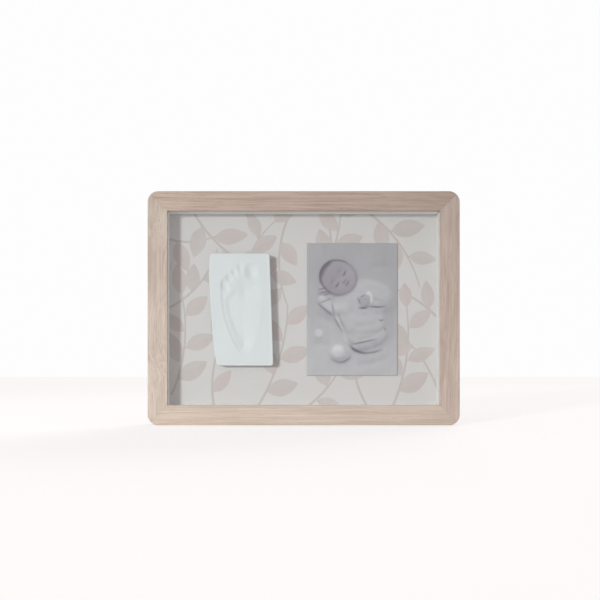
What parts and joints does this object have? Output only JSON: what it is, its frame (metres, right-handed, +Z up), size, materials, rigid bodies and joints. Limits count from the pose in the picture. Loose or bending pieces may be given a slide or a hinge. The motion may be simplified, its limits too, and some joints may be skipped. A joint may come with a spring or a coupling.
{
  "type": "shadow box frame",
  "caption": "Deep wooden display frame with rounded corners, holding a white clay baby footprint and a portrait photograph over leaf-patterned paper behind glass.",
  "frame": {"origin": "centre of the bottom face that the frame stands on", "axes": "+X to the right seen from the front, +Y from the glass towards the back board, +Z up"},
  "size_m": [0.3, 0.0295, 0.225],
  "materials": {
    "frame_wood": "pale greige, matt",
    "glass": "clear",
    "white_spacer": "matt white paint",
    "leaf_paper": "matt, printed",
    "white_clay": "matt air-dry clay",
    "photo_paper": "satin print",
    "foam_tape": "white foam",
    "fibreboard": "smooth brown MDF",
    "zinc_steel": "zinc plated",
    "wedge_steel": "bare steel",
    "bumper_rubber": "soft, translucent"
  },
  "bodies": {
    "case": {"moulding_top": "frame_wood", "moulding_bottom": "frame_wood", "moulding_left": "frame_wood", "moulding_right": "frame_wood", "corner_wedges": "wedge_steel", "glass_pane": "glass", "spacer_top": "white_spacer", "spacer_bottom": "white_spacer", "spacer_left": "white_spacer", "spacer_right": "white_spacer", "printed_sheet": "leaf_paper", "clay_slab": "white_clay", "slab_tape": "foam_tape", "photo_print": "photo_paper", "photo_tape": "foam_tape", "back_board": "fibreboard", "turn_button_screws": "zinc_steel", "hanger_screws": "zinc_steel", "hanger_strap_left": "zinc_steel", "hanger_strap_right": "zinc_steel", "wall_bumpers": "bumper_rubber"},
    "turn_button_top_left": {"turn_button_top_left": "zinc_steel"},
    "turn_button_top_right": {"turn_button_top_right": "zinc_steel"},
    "turn_button_bottom_left": {"turn_button_bottom_left": "zinc_steel"},
    "turn_button_bottom_right": {"turn_button_bottom_right": "zinc_steel"},
    "turn_button_side_left": {"turn_button_side_left": "zinc_steel"},
    "turn_button_side_right": {"turn_button_side_right": "zinc_steel"},
    "hanger_ring_left": {"hanger_ring_left": "zinc_steel"},
    "hanger_ring_right": {"hanger_ring_right": "zinc_steel"}
  },
  "joints": [
    {"name": "turn_button_top_left_turn", "type": "hinge", "parent": "case", "child": "turn_button_top_left", "pos_m": [-0.0655, 0.01275, 0.2158], "axis": [0, 1, 0], "continuous": true},
    {"name": "turn_button_top_right_turn", "type": "hinge", "parent": "case", "child": "turn_button_top_right", "pos_m": [0.0655, 0.01275, 0.2158], "axis": [0, 1, 0], "continuous": true},
    {"name": "turn_button_bottom_left_turn", "type": "hinge", "parent": "case", "child": "turn_button_bottom_left", "pos_m": [-0.0655, 0.01275, 0.0092], "axis": [0, 1, 0], "continuous": true},
    {"name": "turn_button_bottom_right_turn", "type": "hinge", "parent": "case", "child": "turn_button_bottom_right", "pos_m": [0.0655, 0.01275, 0.0092], "axis": [0, 1, 0], "continuous": true},
    {"name": "turn_button_side_left_turn", "type": "hinge", "parent": "case", "child": "turn_button_side_left", "pos_m": [-0.1408, 0.01275, 0.1125], "axis": [0, 1, 0], "continuous": true},
    {"name": "turn_button_side_right_turn", "type": "hinge", "parent": "case", "child": "turn_button_side_right", "pos_m": [0.1408, 0.01275, 0.1125], "axis": [0, 1, 0], "continuous": true},
    {"name": "hanger_ring_left_swing", "type": "hinge", "parent": "case", "child": "hanger_ring_left", "pos_m": [-0.1424, 0.01475, 0.162], "axis": [1, 0, 0], "range_deg": [0, 180]},
    {"name": "hanger_ring_right_swing", "type": "hinge", "parent": "case", "child": "hanger_ring_right", "pos_m": [0.1424, 0.01475, 0.162], "axis": [1, 0, 0], "range_deg": [0, 180]}
  ]
}
